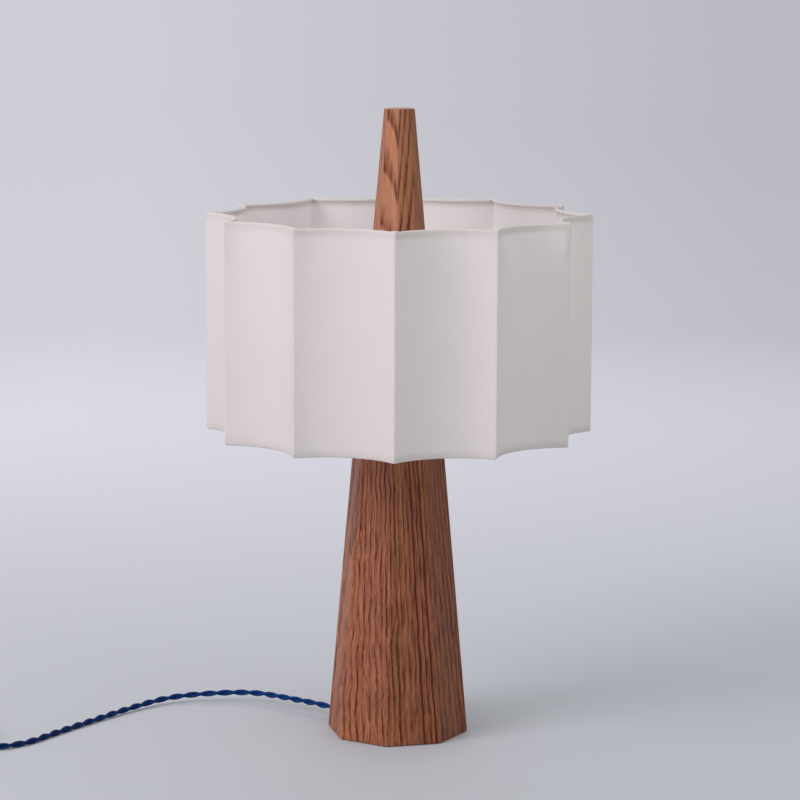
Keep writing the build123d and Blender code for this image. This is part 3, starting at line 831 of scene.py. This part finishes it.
def carried_frames(line):
    """Two directions square to the line at each point, carried along it without twist."""
    across = line[1] - line[0]
    side = across.cross(Vector((0, 0, 1))).normalized()
    frames = []
    for i, point in enumerate(line):
        ahead = line[min(i + 1, len(line) - 1)] - line[max(i - 1, 0)]
        ahead.normalize()
        side = (side - ahead * side.dot(ahead)).normalized()
        frames.append((side, ahead.cross(side)))
    return frames


def make_cord(material):
    """Two strands that wind round each other along the cord's line, left-handed as in the photograph."""
    line = evenly(spline_line(cord_points()), strand_step)
    frames = carried_frames(line)
    verts, faces, uvs = [], [], []
    for strand in (0, 1):
        first = len(verts)
        centres = []
        for i, (point, (side, over)) in enumerate(zip(line, frames)):
            phase = math.pi * strand - 2 * math.pi * i * strand_step / strand_lay
            centres.append(point + (side * math.cos(phase) + over * math.sin(phase)) * strand_radius)
        for centre, (side, over) in zip(centres, carried_frames(centres)):
            for k in range(strand_sides):
                angle = 2 * math.pi * k / strand_sides
                verts.append(centre + (side * math.cos(angle) + over * math.sin(angle)) * strand_radius)
        for i in range(len(centres) - 1):
            for k in range(strand_sides):
                a = first + i * strand_sides + k
                b = first + i * strand_sides + (k + 1) % strand_sides
                faces.append((a, b, b + strand_sides, a + strand_sides))
                u = i * strand_step / mm
                step = strand_step / mm
                v, w = k / strand_sides, (k + 1) / strand_sides
                uvs += [(u, v), (u, w), (u + step, w), (u + step, v)]
        last = len(verts) - strand_sides
        faces.append(tuple(range(first + strand_sides - 1, first - 1, -1)))
        faces.append(tuple(range(last, last + strand_sides)))
        uvs += [(0, 0)] * (2 * strand_sides)
    mesh = bpy.data.meshes.new("twisted_cord")
    mesh.from_pydata(verts, [], faces)
    layer = mesh.uv_layers.new(name="along_and_round")
    for loop, uv in zip(layer.data, uvs):
        loop.uv = uv
    for face in mesh.polygons:
        face.use_smooth = True
    mesh.materials.append(material)
    cord = bpy.data.objects.new("twisted_cord", mesh)
    bpy.context.scene.collection.objects.link(cord)
    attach(cord, "base")
    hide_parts("cord_run", "cord_coil", "cord_tail")


# Shade cover

half_pitch = math.pi / cusp_count
half_chord = ring_corner * math.sin(half_pitch)
flute_radius = (half_chord**2 + flute_depth**2) / (2 * flute_depth)
flute_centre = ring_corner * math.cos(half_pitch) - flute_depth + flute_radius
flute_half_turn = math.asin(half_chord / flute_radius)
cusp_sine = (flute_centre * math.cos(half_pitch) - ring_corner) / flute_radius  # of half the angle at a cusp


def select_where(mesh, wanted):
    """In edit mode, selects just the vertices whose place is wanted."""
    bpy.ops.mesh.select_mode(type="VERT")
    bpy.ops.mesh.select_all(action="DESELECT")
    bpy.ops.object.mode_set(mode="OBJECT")
    for vertex in mesh.vertices:
        vertex.select = bool(wanted(vertex.co))
    bpy.ops.object.mode_set(mode="EDIT")


def extrude_by(offset):
    bpy.ops.mesh.extrude_region_move(TRANSFORM_OT_translate={"value": offset})


def rolled_section(top_wire, bottom_wire):
    """The cloth's section where a flute stands on the x axis: tucked edge, roll over the top wire and wall.

    The flute's own centre is at the origin here, so the shade's outside is towards it.
    """
    roll_sides = 16
    wall_steps = 20
    bpy.ops.mesh.primitive_circle_add(
        vertices=roll_sides,
        radius=cloth_middle,
        location=(flute_radius, 0, top_wire),
        rotation=(math.pi / 2, 0, 0),
    )
    section = bpy.context.object
    bpy.ops.object.transform_apply(location=True, rotation=True)
    bpy.ops.object.mode_set(mode="EDIT")
    tiny = 0.01 * mm
    mesh = section.data
    select_where(mesh, lambda p: p.z < top_wire - tiny and p.x < flute_radius - tiny)
    bpy.ops.mesh.delete(type="VERT")
    select_where(mesh, lambda p: p.z < top_wire - cloth_middle + tiny)
    tuck_in = cloth_middle - cloth_thickness - tiny
    extrude_by((-tuck_in, 0, -tuck_drop))
    extrude_by((0, 0, -tuck_length))
    drop = (top_wire - bottom_wire) / 2 / wall_steps
    select_where(mesh, lambda p: p.x < flute_radius - cloth_middle + tiny)
    for _ in range(wall_steps):
        extrude_by((0, 0, -drop))
    bpy.ops.object.mode_set(mode="OBJECT")
    return section


def measure_section(mesh):
    """Stores each point's way along the cloth from the wall's middle, and gives the way to the tucked end."""
    neighbours = {vertex.index: [] for vertex in mesh.vertices}
    for edge in mesh.edges:
        a, b = edge.vertices
        neighbours[a].append(b)
        neighbours[b].append(a)
    along = mesh.attributes.new("along_cloth", "FLOAT", "POINT")
    here = min(mesh.vertices, key=lambda vertex: vertex.co.z).index
    before = None
    travelled = 0.0
    while here is not None:
        along.data[here].value = travelled
        onward = [n for n in neighbours[here] if n != before]
        before = here
        here = onward[0] if onward else None
        if onward:
            travelled += (mesh.vertices[here].co - mesh.vertices[before].co).length
    return travelled


def spin_flute():
    """The section swept round the flute's centre and cut off at the planes of its two cusps."""
    steps_each_way = 12
    step = flute_half_turn / 10.3  # so that no narrow face is left beside a cusp
    bpy.ops.object.mode_set(mode="EDIT")
    bpy.ops.mesh.select_all(action="SELECT")
    bpy.ops.transform.rotate(value=-steps_each_way * step, orient_axis="Z", center_override=(0, 0, 0))
    bpy.ops.mesh.spin(
        steps=2 * steps_each_way,
        angle=2 * steps_each_way * step,
        center=(0, 0, 0),
        axis=(0, 0, 1),
    )
    for side in (-1, 1):
        bpy.ops.mesh.select_all(action="SELECT")
        bpy.ops.mesh.bisect(
            plane_co=(flute_centre, 0, 0),
            plane_no=(math.sin(half_pitch), side * math.cos(half_pitch), 0),
            clear_outer=True,
            threshold=0.00001,
        )
    bpy.ops.object.mode_set(mode="OBJECT")


def nearest_cusp(point):
    """How many pitches from the first cusp the point lies, and the angle of the cusp nearest to it."""
    pitches = (math.atan2(point.y, point.x) - cusp_turn) / (2 * half_pitch)
    return pitches, cusp_turn + 2 * half_pitch * round(pitches)


def lay_out_cloth(mesh, middle):
    """UVs in millimetres of cloth: round the flutes from the first cusp, and up from the middle line."""
    along = [value.value for value in mesh.attributes["along_cloth"].data]
    layer = mesh.uv_layers.new(name="cloth_mm")
    for face in mesh.polygons:
        flute = math.floor(nearest_cusp(face.center)[0])
        square_on = Matrix.Rotation(-cusp_turn - (2 * flute + 1) * half_pitch, 3, "Z")
        for corner in face.loop_indices:
            vertex = mesh.vertices[mesh.loops[corner].vertex_index]
            spot = square_on @ vertex.co
            swing = math.atan2(spot.y, flute_centre - spot.x)
            across = ((2 * flute + 1) * flute_half_turn + swing) * flute_radius
            up = math.copysign(along[vertex.index], vertex.co.z - middle)
            layer.data[corner].uv = (across / mm, up / mm)


def make_shade_cover(material):
    """Stiff cloth round the fluted frame, rolled over both wires, with its edges tucked behind them."""
    top_wire = sum(corner.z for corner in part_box("top_ring")) / 2
    bottom_wire = sum(corner.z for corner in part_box("bottom_ring")) / 2
    middle = (top_wire + bottom_wire) / 2
    bpy.ops.object.select_all(action="DESELECT")
    cover = rolled_section(top_wire, bottom_wire)
    cover.name = "cloth_cover"
    mesh = cover.data
    mesh.name = "cloth_cover"
    half_height = measure_section(mesh)
    spin_flute()
    turn = cusp_turn + half_pitch
    mesh.transform(Matrix.Rotation(math.pi + turn, 4, "Z") @ Matrix.Translation((-flute_centre, 0, 0)))
    bpy.ops.object.mode_set(mode="EDIT")
    bpy.ops.mesh.select_all(action="SELECT")
    whole = 2 * math.pi * (cusp_count - 1) / cusp_count
    bpy.ops.mesh.spin(steps=cusp_count - 1, dupli=True, angle=whole, center=(0, 0, 0), axis=(0, 0, 1))
    bpy.ops.mesh.select_all(action="SELECT")
    bpy.ops.mesh.remove_doubles(threshold=weld_gap)
    mitre = ring_corner + cloth_middle / 2

    def on_wall_cusp(point):
        pitches = nearest_cusp(point)[0]
        return abs(pitches - round(pitches)) < 0.001 and math.hypot(point.x, point.y) > mitre

    # The cloth can't fold sharper over the wire's corner than its own thickness allows
    select_where(mesh, on_wall_cusp)
    crease = cloth_middle * math.sqrt(1 - cusp_sine**2) / cusp_sine
    crease_steps = 4
    bpy.ops.mesh.bevel(
        offset=crease,
        offset_type="OFFSET",
        segments=crease_steps,
        affect="EDGES",
        clamp_overlap=True,
    )
    bpy.ops.object.mode_set(mode="OBJECT")

    mirror = cover.modifiers.new("mirror", "MIRROR")
    mirror.use_axis = (False, False, True)
    mirror.merge_threshold = weld_gap
    mesh.transform(Matrix.Translation((0, 0, -middle)))
    bpy.ops.object.modifier_apply(modifier="mirror")
    mesh.transform(Matrix.Translation((0, 0, middle)))
    bpy.ops.object.mode_set(mode="EDIT")
    bpy.ops.mesh.select_all(action="SELECT")
    bpy.ops.mesh.normals_make_consistent(inside=False)
    bpy.ops.object.mode_set(mode="OBJECT")
    lay_out_cloth(mesh, middle)
    for vertex in mesh.vertices:
        cusp = nearest_cusp(vertex.co)[1]
        tip = Vector((ring_corner * math.cos(cusp), ring_corner * math.sin(cusp), vertex.co.z))
        near = max(0.0, 1 - (vertex.co - tip).length / ear_reach)
        high = max(0.0, 1 - (top_wire - vertex.co.z) / (2 * ear_reach))
        vertex.co.z += ear_height * near**2 * min(high, 1.0)
    solid = cover.modifiers.new("thickness", "SOLIDIFY")
    solid.thickness = cloth_thickness
    solid.offset = 0.0
    bpy.ops.object.modifier_apply(modifier="thickness")
    mesh.attributes.remove(mesh.attributes["along_cloth"])
    sharpest_smooth = math.radians(50)
    bpy.ops.object.shade_smooth_by_angle(angle=sharpest_smooth)
    mesh.materials.clear()
    mesh.materials.append(material)
    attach(cover, "shade")
    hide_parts("shade_cover")


make_camera()
make_room()
make_world()
make_area_light("window", (-2.2, -1.6, 1.9), (0, 0, 0.35), (1.6, 1.6), 45, "fff0f8")
make_area_light("fill", (2.4, -2.4, 1.4), (0, 0, 0.3), (2.4, 2.0), 7, "f6fbf2")
make_area_light("ceiling", (0.5, -0.3, 3.0), (0, 0, 0.3), (2.5, 2.5), 9, "f8fcf8")
make_area_light("back", (0.2, 2.6, 2.2), (0, 0, 0.4), (2.5, 1.5), 16, "f8f4ff")

column_wood = oiled_hardwood(
    "oiled_column_wood",
    grounds=("b47258", "b5744f"),
    dark="572410",
    apex=819,
    middle=155,
    pith=(-158.7, -60),
    lean=(-0.033, 0.0),
    ring=5.05,
    wander=1.6,
    calm=(-20, 15),
    strength=(0.25, 1.05),
    streaks=0.5,
    # painted shade on the column's right side, away from the window light
    painted_shade_side=(-50, 40, 0.34),
    marked=(181.8, 191.9),
)
finial_wood = oiled_hardwood(
    "oiled_finial_wood",
    grounds=("c4886b", "c1835c"),
    dark="66321e",
    apex=807,
    middle=565,
    pith=(1.3, 21.5),
    lean=(0.0255, 0.052),
    ring=3.05,
    wander=0.25,
    calm=(-20, 15),
    strength=(0.75, 1.15),
    streaks=0.28,
    # painted shade on the finial's right side, away from the window light
    painted_shade_side=(-8, 8, 0.28),
)
finishes = {
    "felt": wool_felt(),
    # Zinc plating, dull and slightly clouded
    "steel": grained("zinc_plated_steel", "b4b8bc", 0.38, metallic=1.0, grain=1.2, depth=0.01, mottle=0.1),
    # Spun or drawn brass, brushed and lacquered, with fine scratches round the axis
    "brass": grained(
        "brushed_brass", "d2ab62", 0.3, metallic=1.0, grain=0.3, depth=0.012, stretch=(8, 8, 1)
    ),
    "sleeve_board": grained(
        "pressed_board", "a08660", 0.9, grain=0.5, depth=0.08, mottle=0.12, stretch=(4, 4, 1)
    ),
    # Phenolic pressed in a polished mould, with a slight orange peel
    "dark_plastic": grained("pressed_phenolic", "1c1614", 0.36, grain=1.6, depth=0.012),
    "cord_cover": drawn_cord_cover(),
    # Plastic moulded in an etched mould
    "plug_plastic": grained("moulded_blue_plastic", "0f3c86", 0.55, grain=0.35, depth=0.03),
    # Glass etched white inside, so the surface is smooth but the light through it is spread
    "frosted_glass": grained(
        "etched_glass",
        "f4f2ea",
        0.42,
        grain=0.3,
        depth=0.008,
        mottle=0.02,
        more={"Transmission Weight": 0.3, "IOR": 1.5},
    ),
    "bulb_metal": threaded("rolled_aluminium_cap", "cfcfcf", 0.36, pitch=3.63, depth=0.8),
    "solder": grained("dull_solder", "9a9a98", 0.5, metallic=1.0, grain=1.0, depth=0.05, mottle=0.12),
    # White enamel baked on wire, with a slight orange peel
    "frame_paint": grained("baked_white_enamel", "e6e3de", 0.3, grain=2.0, depth=0.02, mottle=0.03),
    "shade_cloth": stiff_backed_cloth(),
}
wood_of = {"column": column_wood, "finial": finial_wood}
for subpart in frame["record"]["subparts"]:
    name = subpart["node"]
    paint(name, wood_of[name] if name in wood_of else finishes[subpart["material_slot"]])
paint("harp_stud", threaded("cut_brass_thread", "cfa860", 0.3, pitch=0.94, depth=0.5))
paint("screw_shell", threaded("rolled_brass_thread", "cfa860", 0.34, pitch=3.63, depth=0.8))
paint("lamp_pipe", threaded("cut_steel_thread", "b0b4b8", 0.4, pitch=0.94, depth=0.5))

make_cord(finishes["cord_cover"])
make_shade_cover(finishes["shade_cloth"])

scene = bpy.context.scene
scene.view_settings.view_transform = "Standard"
